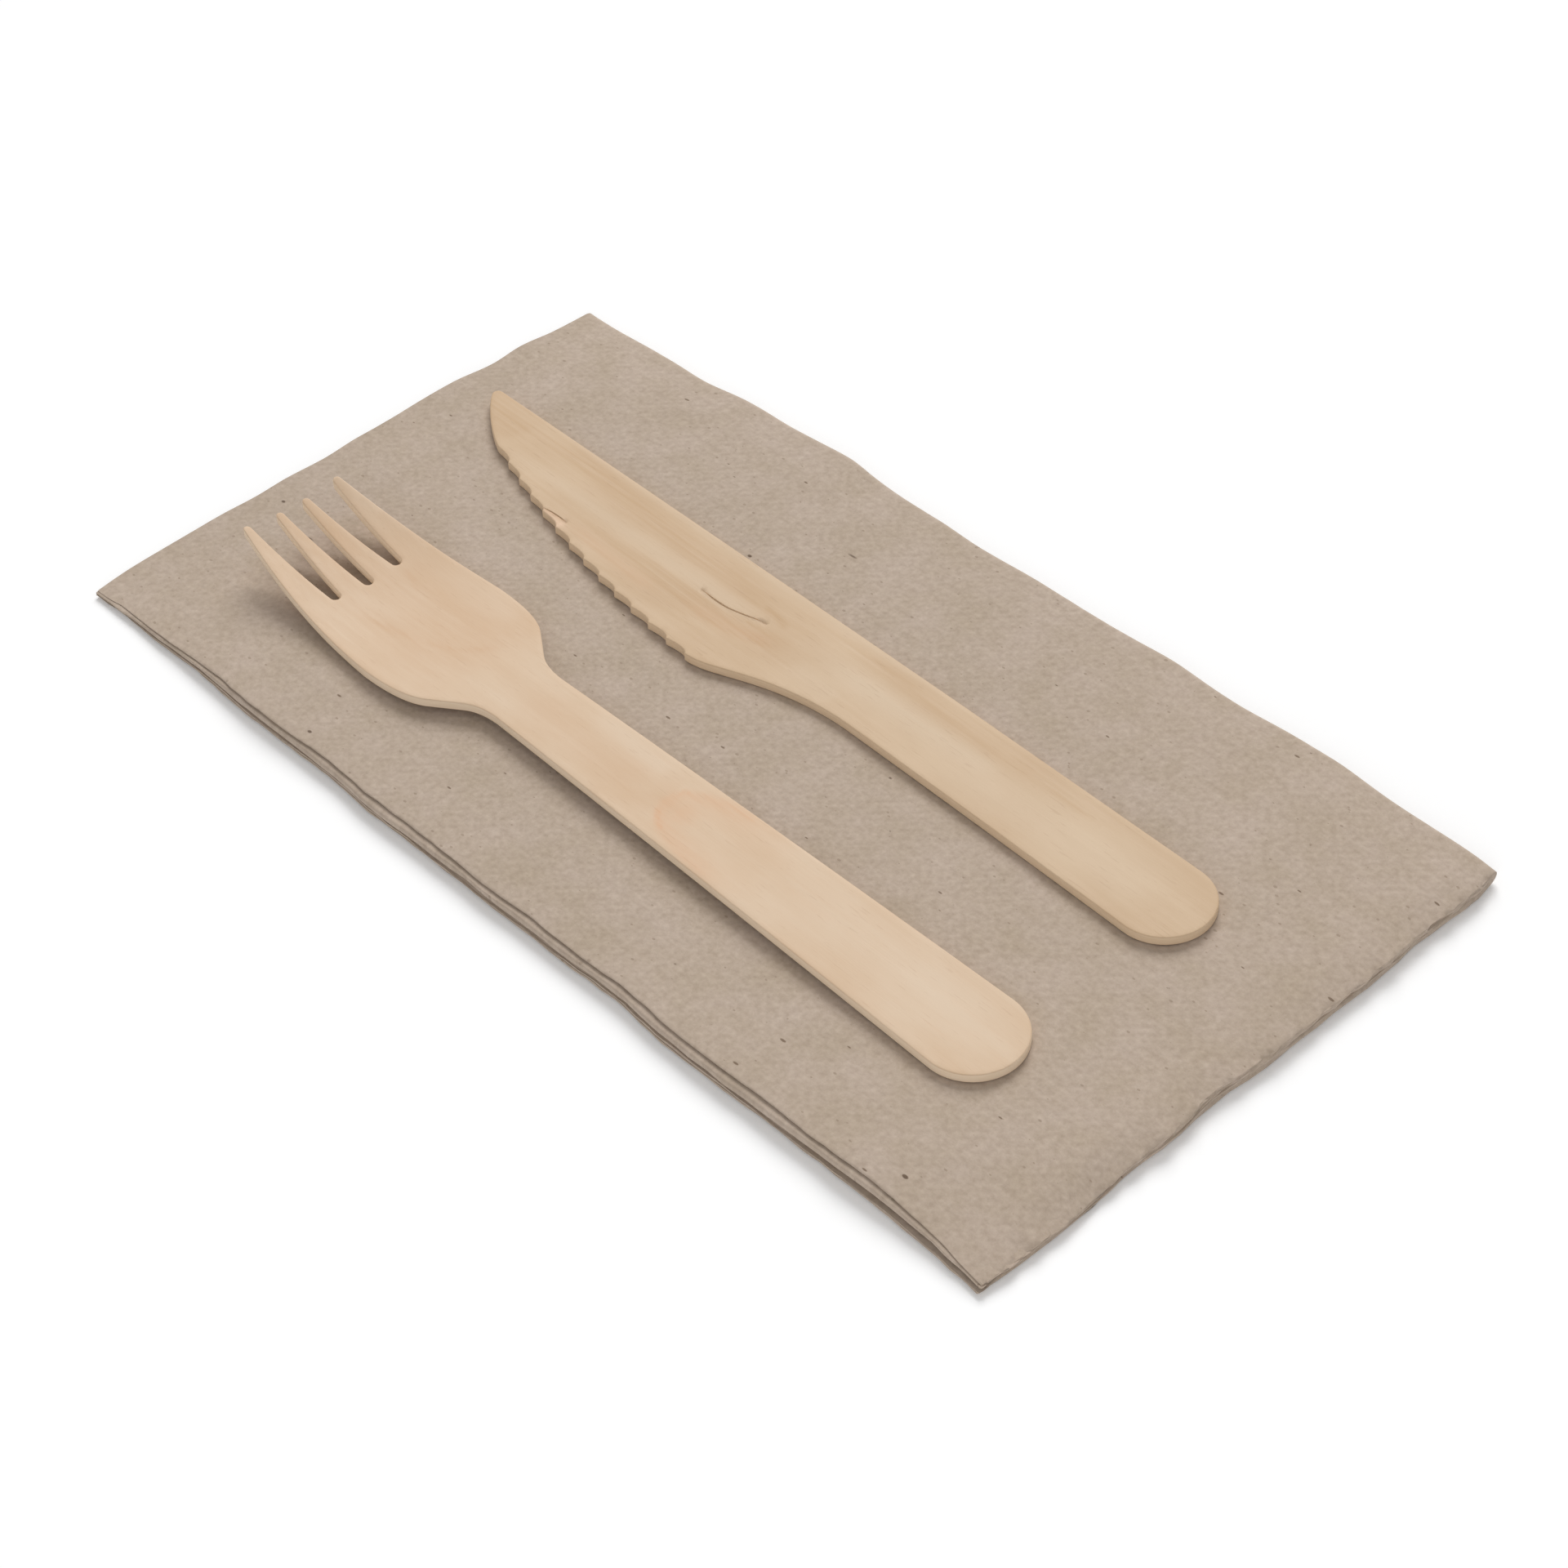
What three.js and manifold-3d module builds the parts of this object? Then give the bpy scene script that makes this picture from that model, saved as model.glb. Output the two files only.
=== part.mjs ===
// Wooden cutlery set: a birch veneer fork and knife lying side by side on a folded paper napkin.
// Units are millimetres and +Z is up. The origin is on the table, under the middle of the napkin.
// +X runs along the napkin from the tine end to the handle end, and +Y from the fork to the knife.
import * as THREE from 'three';
import { mergeVertices } from 'three/addons/utils/BufferGeometryUtils.js';
import Module from 'manifold-3d';

// Napkin: one sheet folded three times, to an eighth of its area.
const napkinLength = 192.5;
const napkinWidth = 101.3;
const sheetThickness = 0.26;
const layerGap = 0.12;
const openEdgeStep = 0.8; // the lower free edges stand out this far past the folds above them
const bendSteps = 10; // facets round each half turn of paper

// Both pieces of cutlery are stamped from one sheet of veneer and lie on the napkin.
const veneerThickness = 1.5;
const restClearance = 0.3; // air between the napkin and the lowest point of each piece
const curveSteps = 6; // facets along each curve of an outline
const mergeDistance = 1e-4; // corners closer than this are one

// Fork outline: lengths run from the tips of the tines, and widths from its middle line.
const forkLength = 158.4;
const forkHeadHalf = 13.2;
const forkHeadAt = 35.1;
const headCornerRun = 12.5;
const headCornerDrop = 2.3;
const neckCornerRun = 6.3;
const neckCornerRise = 1.53;
const forkNeckHalf = 6.17;
const forkNeckAt = 58.6;
const forkEndHalf = 7.9;
const tineRimHalf = 9.3; // the outer rim at the tips
const tineRimBow = 0.9;
const tineTipWidth = 1.4;
const innerTineMiddle = 2.5;
const slotWidth = 1.7;
const outerSlotMiddle = 5.87;
const outerSlotEnd = 19.3;
const middleSlotEnd = 19.8;

// Fork pressing: the bowl touches down, the tines curl up and the handle arches over.
const bowlAt = 27.1;
const tineLift = 4.5;
const tineCup = 1; // the outer tines rise this much more than the middle line
const archLift = 1;
const archAt = 55;
const slabMargin = 2; // the pressed slab is this much larger all round than the outline
const slabStep = 3.4;
const slopeStep = 0.01; // the slab's slope is taken over this distance

// Knife outline: lengths run from its point, and widths from the middle line of its handle.
const knifeLength = 164.7;
const knifeEndHalf = 7.6;
const knifeEndMiddle = -0.15;
const spineHeight = 7.47;
const spineFlatAt = 109;
const spineBowAt = 36.3;
const pointHeight = 6.5;
const pointRound = 1.1;
const noseSteep = 2;
const noseRun = 5.9;
const noseRise = 2.3;
const edgeStart = new THREE.Vector2(12.2, -3.1);
const edgeEnd = new THREE.Vector2(72.1, -14.3);
const edgeCrown = 2.1; // how far the row of teeth bows out from a straight line
const toothCount = 13;
const hollowEaseAt = 0.35; // each tooth's hollow is pulled in at two shares of its length
const hollowEaseDepth = 0.35;
const hollowDeepAt = 0.85;
const hollowDeepDepth = 0.925;
const heelRun = 5.4;
const heelRise = 1.3;
const neckHeight = -7.4;
const neckAt = 101;
const neckBlendRun = 19.5;
const neckBlendDrop = 3.95;

// Where the tips of the tines and the point of the knife lie, and how the pieces are turned.
const forkPlace = new THREE.Vector2(-82.7, -22);
const forkTurn = THREE.MathUtils.degToRad(-0.33);
const knifePlace = new THREE.Vector2(-88.2, 17.1);
const knifeTurn = THREE.MathUtils.degToRad(-1.45);

const wasm = await Module();
wasm.setup();

// A closed mesh with shared corners, as a solid that can be cut.
function solidFrom(geometry) {
  const bare = geometry.clone();
  bare.deleteAttribute('normal');
  bare.deleteAttribute('uv');
  const merged = mergeVertices(bare, mergeDistance);
  return new wasm.Manifold(
    new wasm.Mesh({
      numProp: 3,
      vertProperties: new Float32Array(merged.attributes.position.array),
      triVerts: new Uint32Array(merged.index.array),
    }),
  );
}

// A cut solid, as a mesh geometry again.
function geometryFrom(solid) {
  const mesh = solid.getMesh();
  const geometry = new THREE.BufferGeometry();
  geometry.setAttribute('position', new THREE.BufferAttribute(mesh.vertProperties, 3));
  geometry.setIndex(new THREE.BufferAttribute(mesh.triVerts, 1));
  geometry.computeVertexNormals();
  return geometry;
}

// A closed slab over a grid of countI by countJ lines. place(i, j, face) gives the point where
// two lines cross, on the lower face for 0 and on the upper face for 1.
function gridSlab(countI, countJ, place) {
  const points = [];
  for (let face = 0; face < 2; face += 1) {
    for (let i = 0; i < countI; i += 1) {
      for (let j = 0; j < countJ; j += 1) points.push(...place(i, j, face));
    }
  }
  const triangles = [];
  const at = (face, i, j) => (face * countI + i) * countJ + j;
  const quad = (a, b, c, d) => triangles.push(a, b, c, a, c, d);
  const lastI = countI - 1;
  const lastJ = countJ - 1;
  for (let i = 0; i < lastI; i += 1) {
    for (let j = 0; j < lastJ; j += 1) {
      quad(at(0, i, j), at(0, i, j + 1), at(0, i + 1, j + 1), at(0, i + 1, j));
      quad(at(1, i, j), at(1, i + 1, j), at(1, i + 1, j + 1), at(1, i, j + 1));
    }
    quad(at(0, i, 0), at(0, i + 1, 0), at(1, i + 1, 0), at(1, i, 0));
    quad(at(0, i + 1, lastJ), at(0, i, lastJ), at(1, i, lastJ), at(1, i + 1, lastJ));
  }
  for (let j = 0; j < lastJ; j += 1) {
    quad(at(0, 0, j + 1), at(0, 0, j), at(1, 0, j), at(1, 0, j + 1));
    quad(at(0, lastI, j), at(0, lastI, j + 1), at(1, lastI, j + 1), at(1, lastI, j));
  }
  const geometry = new THREE.BufferGeometry();
  geometry.setAttribute('position', new THREE.Float32BufferAttribute(points, 3));
  geometry.setIndex(triangles);
  geometry.computeVertexNormals();
  return geometry;
}

// One fold of a stack of the given depth. Up to the crease the stack lies still. Past it the
// stack turns half a circle about an axis just above itself, then runs back over the rest.
function makeFold(depth, crease) {
  const axisHeight = depth + layerGap / 2;
  const arc = (Math.PI * axisHeight) / 2; // the length of sheet that the half turn takes up
  const move = (along, height) => {
    if (along <= crease) return [along, height];
    const radius = axisHeight - height;
    const past = along - crease - arc;
    if (past >= 0) return [crease - past, axisHeight + radius];
    const angle = ((along - crease) / arc) * Math.PI;
    return [crease + radius * Math.sin(angle), axisHeight - radius * Math.cos(angle)];
  };
  const lines = [];
  for (let k = 0; k <= bendSteps; k += 1) lines.push(crease + (arc * k) / bendSteps);
  return { axisHeight, arc, crease, move, lines };
}

const halfStack = 2 * sheetThickness + layerGap;
const quarterStack = 2 * halfStack + layerGap;
const napkinHeight = 2 * quarterStack + layerGap;

// The first fold halves the sheet's width, the second halves its length, and the third brings
// the first fold's edge back over the free edges. The grid lines are drawn on the flat sheet.
function makeNapkin() {
  const first = makeFold(sheetThickness, 0);
  const second = makeFold(halfStack, 0);
  const lastAxis = quarterStack + layerGap / 2;
  const lowerRun = napkinWidth - lastAxis;
  const upperRun = lowerRun - openEdgeStep - first.axisHeight;
  const last = makeFold(quarterStack, -upperRun - (Math.PI * lastAxis) / 2);
  const freeEdge = last.crease - lowerRun;
  const lengthRun = napkinLength - second.axisHeight;

  // The third fold bends both halves of the sheet, so its lines come again past the first fold.
  const again = last.lines.map((line) => first.arc - line).reverse();
  const acrossLines = [freeEdge, ...last.lines, ...first.lines, ...again, first.arc - freeEdge];
  const alongLines = [-lengthRun, ...second.lines, second.arc + lengthRun];

  return gridSlab(alongLines.length, acrossLines.length, (i, j, face) => {
    const [halved, height1] = first.move(acrossLines[j], face * sheetThickness);
    const [along, height2] = second.move(alongLines[i], height1);
    const [across, height3] = last.move(halved, height2);
    return [
      along + napkinLength / 2 - second.axisHeight,
      across - last.crease + napkinWidth / 2 - last.axisHeight,
      height3,
    ];
  });
}

// Where the line through two points comes to a given height.
function crossing(a, b, height) {
  return a.x + ((height - a.y) * (b.x - a.x)) / (b.y - a.y);
}

// Half of the fork's outline, from the end of the handle round one side to the middle slot.
function forkHalf() {
  const endMiddle = forkLength - forkEndHalf;
  const shoulderTop = new THREE.Vector2(forkHeadAt + headCornerRun, forkHeadHalf - headCornerDrop);
  const shoulderFoot = new THREE.Vector2(forkNeckAt - neckCornerRun, forkNeckHalf + neckCornerRise);
  const headCorner = crossing(shoulderTop, shoulderFoot, forkHeadHalf);
  const neckCorner = crossing(shoulderTop, shoulderFoot, forkNeckHalf);
  const tip = tineTipWidth / 2;
  const slot = slotWidth / 2;
  const half = new THREE.Path();
  half.moveTo(forkLength, 0);
  half.absarc(endMiddle, 0, forkEndHalf, 0, Math.PI / 2, false);
  half.lineTo(forkNeckAt, forkNeckHalf);
  half.quadraticCurveTo(neckCorner, forkNeckHalf, shoulderFoot.x, shoulderFoot.y);
  half.lineTo(shoulderTop.x, shoulderTop.y);
  half.quadraticCurveTo(headCorner, forkHeadHalf, forkHeadAt, forkHeadHalf);
  half.quadraticCurveTo(forkHeadAt / 2, forkHeadHalf - tineRimBow, tip, tineRimHalf);
  half.absarc(tip, tineRimHalf - tip, tip, Math.PI / 2, (Math.PI * 3) / 2, false);
  half.absarc(outerSlotEnd - slot, outerSlotMiddle, slot, Math.PI / 2, -Math.PI / 2, true);
  half.absarc(tip, innerTineMiddle, tip, Math.PI / 2, (Math.PI * 3) / 2, false);
  half.absarc(middleSlotEnd - slot, 0, slot, Math.PI / 2, 0, true);
  return half.getPoints(curveSteps);
}

// Height of the fork's underside above its lowest line: the curl and cup of the tines, each
// growing with the square of the distance from the bowl or the neck, and the handle's arch.
function forkRise(along, across) {
  const tipSide = Math.max(bowlAt - along, 0) / bowlAt;
  const headSide = Math.max(archAt - along, 0) / archAt;
  const curl = tineLift * tipSide ** 2;
  const cup = tineCup * (headSide * (across / tineRimHalf)) ** 2;
  const up = THREE.MathUtils.smoothstep(along, bowlAt, archAt);
  const down = Math.max(along - archAt, 0) / (forkLength - archAt);
  return curl + cup + archLift * up * (1 - down ** 2);
}

// The fork is its outline cut straight down through a slab of veneer pressed to forkRise. The
// slab's upper face lies one thickness away from the lower face, square to it.
function makeFork() {
  const half = forkHalf();
  const otherHalf = half.slice(1, -1).reverse().map((point) => new THREE.Vector2(point.x, -point.y));
  const outline = new THREE.Shape([...half, ...otherHalf]);
  const reach = tineLift + tineCup + veneerThickness + slabMargin;
  const cutter = new THREE.ExtrudeGeometry(outline, { depth: 2 * reach, bevelEnabled: false });
  cutter.translate(0, 0, -reach);

  const slabLength = forkLength + 2 * slabMargin;
  const slabWidth = 2 * (forkHeadHalf + slabMargin);
  const countI = Math.ceil(slabLength / slabStep) + 1;
  const countJ = Math.ceil(slabWidth / slabStep) + 1;
  const slab = gridSlab(countI, countJ, (i, j, face) => {
    const x = -slabMargin + (slabLength * i) / (countI - 1);
    const y = -slabWidth / 2 + (slabWidth * j) / (countJ - 1);
    const z = forkRise(x, y);
    const slopeX = (forkRise(x + slopeStep, y) - z) / slopeStep;
    const slopeY = (forkRise(x, y + slopeStep) - z) / slopeStep;
    const square = new THREE.Vector3(-slopeX, -slopeY, 1).setLength(face * veneerThickness);
    return [x + square.x, y + square.y, z + square.z];
  });
  return geometryFrom(solidFrom(cutter).intersect(solidFrom(slab)));
}

// The knife's outline, walked from the first tooth along the edge, handle and spine. Each
// tooth ends a hollow that is deepest near its handle end.
function makeKnife() {
  const shape = new THREE.Shape();
  const chord = edgeEnd.clone().sub(edgeStart);
  const outward = new THREE.Vector2(chord.y, -chord.x).normalize();
  const bow = edgeStart.clone().add(edgeEnd).multiplyScalar(0.5).addScaledVector(outward, 2 * edgeCrown);
  const edge = new THREE.QuadraticBezierCurve(edgeStart, bow, edgeEnd);
  shape.moveTo(edgeStart.x, edgeStart.y);
  for (let tooth = 1; tooth <= toothCount; tooth += 1) {
    const from = edge.getPointAt((tooth - 1) / toothCount);
    const to = edge.getPointAt(tooth / toothCount);
    const ease = from.clone().lerp(to, hollowEaseAt).addScaledVector(outward, -hollowEaseDepth);
    const deep = from.clone().lerp(to, hollowDeepAt).addScaledVector(outward, -hollowDeepDepth);
    shape.bezierCurveTo(ease.x, ease.y, deep.x, deep.y, to.x, to.y);
  }

  const heel = new THREE.Vector2(edgeEnd.x + heelRun, edgeEnd.y + heelRise);
  const blend = new THREE.Vector2(neckAt - neckBlendRun, neckHeight - neckBlendDrop);
  shape.quadraticCurveTo(crossing(heel, blend, edgeEnd.y), edgeEnd.y, heel.x, heel.y);
  shape.lineTo(blend.x, blend.y);
  shape.quadraticCurveTo(crossing(heel, blend, neckHeight), neckHeight, neckAt, neckHeight);

  const endMiddle = knifeLength - knifeEndHalf;
  const gripMiddle = (neckAt + endMiddle) / 2;
  shape.quadraticCurveTo(gripMiddle, neckHeight, endMiddle, knifeEndMiddle - knifeEndHalf);
  shape.absarc(endMiddle, knifeEndMiddle, knifeEndHalf, -Math.PI / 2, Math.PI / 2, false);
  shape.lineTo(spineFlatAt, spineHeight);
  shape.quadraticCurveTo(spineBowAt, (spineHeight + pointHeight) / 2, pointRound, pointHeight);
  shape.quadraticCurveTo(0, pointHeight, 0, pointHeight - pointRound);
  shape.bezierCurveTo(
    0,
    pointHeight - noseSteep,
    edgeStart.x - noseRun,
    edgeStart.y + noseRise,
    edgeStart.x,
    edgeStart.y,
  );
  return new THREE.ExtrudeGeometry(shape, {
    depth: veneerThickness,
    bevelEnabled: false,
    curveSegments: curveSteps,
  });
}

const tissue = new THREE.MeshStandardMaterial({ color: 0xb7a794, roughness: 0.95, metalness: 0 });
const forkBirch = new THREE.MeshStandardMaterial({ color: 0xdbc1a2, roughness: 0.62, metalness: 0 });
const knifeBirch = new THREE.MeshStandardMaterial({ color: 0xd2b797, roughness: 0.62, metalness: 0 });

const set = new THREE.Group();

const napkin = new THREE.Mesh(makeNapkin(), tissue);
napkin.name = 'napkin';
set.add(napkin);

const fork = new THREE.Mesh(makeFork(), forkBirch);
fork.name = 'fork';
fork.position.set(forkPlace.x, forkPlace.y, napkinHeight + restClearance);
fork.rotation.z = forkTurn;
set.add(fork);

const knife = new THREE.Mesh(makeKnife(), knifeBirch);
knife.name = 'knife';
knife.position.set(knifePlace.x, knifePlace.y, napkinHeight + restClearance);
knife.rotation.z = knifeTurn;
set.add(knife);

export default set;
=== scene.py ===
import math

import bmesh
import bpy
import numpy as np
from mathutils import Matrix, Vector
from mathutils.geometry import delaunay_2d_cdt


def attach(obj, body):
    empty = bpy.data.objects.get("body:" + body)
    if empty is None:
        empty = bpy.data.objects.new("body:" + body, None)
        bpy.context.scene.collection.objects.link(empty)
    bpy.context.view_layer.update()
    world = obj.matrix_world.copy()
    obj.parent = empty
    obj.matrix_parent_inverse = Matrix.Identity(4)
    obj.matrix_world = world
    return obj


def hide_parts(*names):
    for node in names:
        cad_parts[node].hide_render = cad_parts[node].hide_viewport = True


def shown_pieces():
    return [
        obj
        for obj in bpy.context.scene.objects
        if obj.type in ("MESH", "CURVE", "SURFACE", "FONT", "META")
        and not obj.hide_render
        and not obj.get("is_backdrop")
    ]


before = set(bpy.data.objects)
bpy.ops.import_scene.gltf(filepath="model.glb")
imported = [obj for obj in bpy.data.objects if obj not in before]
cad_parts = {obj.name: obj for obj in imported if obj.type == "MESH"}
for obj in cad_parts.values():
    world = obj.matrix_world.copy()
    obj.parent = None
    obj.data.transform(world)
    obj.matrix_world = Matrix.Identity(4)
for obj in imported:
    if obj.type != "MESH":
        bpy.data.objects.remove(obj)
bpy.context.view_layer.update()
mm = 0.001  # the shapes below are worked out in millimetres, in the frame's own axes

# Camera, solved from the napkin's four corners. Angles are in degrees and lengths in mm.
view = {
    "azimuth": 49.66,
    "elevation": 42.99,
    "roll": -3.49,
    "distance": 488.95,
    "aim": (11.24, -4.66, 0),
    "lens": 77.67,
    "sensor": 36,
    "clipStart": 10,
}


# The camera stands back from its aim along its azimuth and elevation, and is turned by its roll.
def placeCamera():
    a, e, r = (math.radians(view[k]) for k in ("azimuth", "elevation", "roll"))
    back = Vector((math.sin(a) * math.cos(e), -math.cos(a) * math.cos(e), math.sin(e)))
    level = Vector((math.cos(a), math.sin(a), 0))
    upright = back.cross(level)
    right = level * math.cos(r) + upright * math.sin(r)
    up = upright * math.cos(r) - level * math.sin(r)
    camera = bpy.data.objects.new("camera", bpy.data.cameras.new("camera"))
    camera.data.lens = view["lens"]
    camera.data.sensor_width = view["sensor"]
    camera.data.clip_start = view["clipStart"] * mm
    turn = Matrix((right, up, back)).transposed().to_4x4()
    stand = (Vector(view["aim"]) + back * view["distance"]) * mm
    camera.matrix_world = Matrix.Translation(stand) @ turn
    bpy.context.scene.collection.objects.link(camera)
    bpy.context.scene.camera = camera


# A fade from 0 at low to 1 at high, with no kink at either end.
def easeStep(low, high, x):
    t = np.clip((x - low) / (high - low), 0, 1)
    return t * t * (3 - 2 * t)


# 1 at an edge, falling to 0 at the reach.
def fadeFrom(distance, reach):
    return 1 - easeStep(0, reach, distance)


# A smooth curve through a table of (place, value), with each slope taken from its neighbours.
def curveThrough(table, x):
    knots, values = np.array(table, float).T
    slopes = np.gradient(values, knots)
    x = np.clip(x, knots[0], knots[-1])
    k = np.clip(np.searchsorted(knots, x) - 1, 0, len(knots) - 2)
    span = knots[k + 1] - knots[k]
    t = (x - knots[k]) / span
    ends = (2 * t**3 - 3 * t**2 + 1) * values[k] + (3 * t**2 - 2 * t**3) * values[k + 1]
    return ends + span * ((t**3 - 2 * t**2 + t) * slopes[k] + (t**3 - t**2) * slopes[k + 1])


# A sum of plane waves of many directions and lengths, the longer ones higher: about -1 to 1.
def ripples(x, y, seed, shortest, longest, count=22):
    rng = np.random.default_rng(seed)
    length = np.geomspace(shortest, longest, count)
    heading = rng.uniform(0, math.tau, count)
    phase = rng.uniform(0, math.tau, count)
    share = length / np.sqrt(np.sum(length**2))
    turns = (x[..., None] * np.cos(heading) + y[..., None] * np.sin(heading)) / length
    return np.sum(share * np.sin(math.tau * turns + phase), axis=-1)


# A piece that stands for the CAD node of the same name, from points in mm.
def addPiece(name, points, faces, material):
    mesh = bpy.data.meshes.new(name)
    mesh.from_pydata((points * mm).tolist(), [], faces)
    piece = bpy.data.objects.new(name + "Shown", mesh)
    bpy.context.scene.collection.objects.link(piece)
    mesh.materials.append(material)
    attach(piece, "root")
    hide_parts(name)
    return piece


# Shades a mesh smooth, but for the edges that bend by more than an angle.
def smoothBelow(mesh, degrees):
    mesh.polygons.foreach_set("use_smooth", np.ones(len(mesh.polygons), bool))
    mesh.set_sharp_from_angle(angle=math.radians(degrees))


# Adds a shader node and gives back one of its outputs. Settings are the node's own options or its
# sockets, and links go to its sockets.
def addNode(tree, kind, settings=None, links=None, out=0):
    node = tree.nodes.new(kind)
    sockets = {}
    for name, value in (settings or {}).items():
        if isinstance(name, str) and hasattr(node, name):
            setattr(node, name, value)
        else:
            sockets[name] = value
    for name, value in sockets.items():
        node.inputs[name].default_value = value
    for name, source in (links or {}).items():
        tree.links.new(source, node.inputs[name])
    return node.outputs[out] if node.outputs else None


# An sRGB hex colour, as linear red, green, blue and a full alpha.
def fromHex(code):
    parts = [int(code[k : k + 2], 16) / 255 for k in (1, 3, 5)]
    return (*(p / 12.92 if p <= 0.04045 else ((p + 0.055) / 1.055) ** 2.4 for p in parts), 1)


# A material with no nodes yet, and its tree.
def newMaterial(name):
    material = bpy.data.materials.new(name)
    material.use_nodes = True
    material.node_tree.nodes.clear()
    return material, material.node_tree


# The napkin

napkinSpec = {
    "length": 192.5,
    "width": 101.3,
    "paper": 0.26,  # two plies with their emboss
    "air": 0.12,
    "freeStep": 0.8,  # the free edges reach this far past the folds above them
    "fine": 1.0,  # grid step on the top panel and by the ends
    "middling": 1.5,
    "coarse": 3.4,
    "endRun": 8,  # the fine grid runs in this far from the left end
    "creaseRun": 9,  # and this far on both sides of the second fold
    "bendSteps": 10,
    "smoothAngle": 50,
    "top": 3.2,  # height under the cutlery
    "flat": (384.7, 402.2),
    "uvSide": 400,  # one unit of the UV map
    # how far in from each edge its bow is felt
    "farLeftReach": 55,
    "farRightReach": 40,
    "nearRightReach": 45,
    "nearLeftReach": 30,
    # how far each edge wanders outward, by place along it
    "farLeftBow": [
        (-51, 0.2), (-44, 1.2), (-32, 1.05), (-26, 0.9), (-20, 0.4), (-14, 0.5), (-6, -0.1), (1, 0.55),
        (8, 0.7), (14, 1.05), (22, 0.95), (29, 0.25), (35, 0.9), (42, 0.5), (48, 0.7), (51, 0.8),
    ],
    "farRightBow": [
        (-97, 0.4), (-88, 0.1), (-77, 0.3), (-66, 0.35), (-60, 1.3), (-47, 1.75), (-41, 2.2),
        (-35, 2.6), (-29, 1.9), (-22, 1.4), (-14, 1.4), (-6, 1), (6, 1.4), (24, 1.6), (35, 2.15),
        (43, 1.7), (48, 1.6), (56, 2.05), (65, 2.2), (77, 1.3), (91, 1.0), (97, 0.55),
    ],
    "nearRightBow": [
        (-51, 1.1), (-45, 1.45), (-35, 1.7), (-25, 1.1), (-14, 1.35), (-7, 0.55), (0, 1.2), (7, 1.35),
        (14, 1.2), (21, 1.3), (28, 1.35), (35, 1), (42, 1.2), (47, 0.95), (51, 0.45),
    ],
    "nearLeftBow": [
        (-97, 0.9), (-88, 0.3), (-80, 0.5), (-68, 0.1), (-55, 0.6), (-44, 0.3), (-35, 0.05), (-28, 0.5),
        (-18, 0.25), (-10, 0.1), (0, 0.2), (7, -0.2), (18, -0.2), (28, -0.65), (36, -0.1), (46, -0.05),
        (56, -0.25), (70, -0.4), (80, -0.6), (86, -0.5), (92, 0.05), (97, 0.35),
    ],
    # crinkles of an edge: height, shift from the lowest layer to the highest, seed, shortest and
    # longest wave, and how far in they are felt
    "nearRightCrinkle": (0.2, 9, 5, 1.8, 6, 5),
    "farLeftCrinkle": (0.12, 40, 8, 14, 60, 12),
    "nearLeftWave": (0.12, 30, 11, 5, 26, 6),
    "nearLeftCrinkle": (0.06, 12, 13, 3.2, 7, 3),
    "cornerCalm": 5,  # the near right crinkles die out this close to the far corner
    # near left edge: how far the lower fold stands out, and the shares of the height at which the
    # free edges end and the folds begin
    "ledge": [(-97, 0.4), (-80, 0.4), (-45, 0.6), (-10, 0.8), (60, 0.8), (80, 0.6), (97, 0.4)],
    "freeTop": [(-97, 0.32), (-30, 0.31), (20, 0.29), (60, 0.28), (75, 0.31), (85, 0.31), (97, 0.27)],
    "foldBottom": [(-97, 0.36), (-30, 0.38), (20, 0.41), (62, 0.43), (80, 0.5), (92, 0.58), (97, 0.6)],
    # where each layer comes to in its own part of the height, from 0 to 1, by its level in the
    # even stack
    "freeLayers": ([0, 0.22, 0.26, 0.48], [0, 0.76, 0.8, 1]),
    "foldLayers": (
        [0.52, 0.61, 0.65, 0.74, 0.78, 0.87, 0.91, 1],
        [0, 0.14, 0.56, 0.7, 0.79, 0.89, 0.905, 1],
    ),
    # how far in each fold lies, as a share of the ledge, by its level
    "foldsIn": ([0.51, 0.75, 0.77, 1], [-1, -1, 0.1, 0.1]),
    "halfway": 0.5,  # the free edges are below this level, and the folds above it
    "ledgeReach": 7,
    "springReach": 9,
    # towards the near corner: how far the free edges come out, from where to where
    "freeOut": (0.4, 55, 85),
    # the upper free edge of the two: how far in it lies, how much more towards the corner, and
    # from where to where
    "upperFreeIn": (0.35, 1.2, 55, 88),
    "upperFree": (0.22, 0.26),  # levels between which it begins
    # the top panel springs up by its near corner
    "rise": [(-97, 0), (35, 0), (62, 0.3), (78, 0.6), (88, 0.45), (97, 0.1)],
    "riseReach": 22,
    # the lowest layer stands off the table: how far, and over what width near left and near right
    "lift": (0.4, 12, 10),
    # how far the top falls, and over what width
    "farLeftFall": (0.5, 14),
    "farRightFall": (0.3, 9),
    "nearLeftFall": (0.1, 4),
    "nearRightFallReach": 6.5,
    "nearRightFallPower": 1.5,
    "nearRightFall": [
        (-51, 0.4), (-44, 0.6), (-34, 1.5), (-28.5, 1.9), (-23, 1.4), (-15, 0.7), (-3, 0.6), (8, 0.6),
        (21, 0.9), (28, 0.6), (36, 0.8), (42, 0.6), (51, 0.3),
    ],
    "loopFlat": 0.85,  # share by which the crease's round loops are pressed flat
    "loopReach": 0.75,
    # swells of the top: height, seed, shortest and longest wave
    "swells": [(0.08, 3, 18, 70), (0.035, 4, 5, 14)],
    "crest": (0.22, 4),  # the near right crinkles stand up too: how far, and over what width
    # x and y of a corner, how far it falls, and over what radius
    "corners": [(-96.5, -50.6, 1.9, 46), (96.5, -51.5, 1.5, 27), (-96.5, 51, 0.7, 30)],
}


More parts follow.
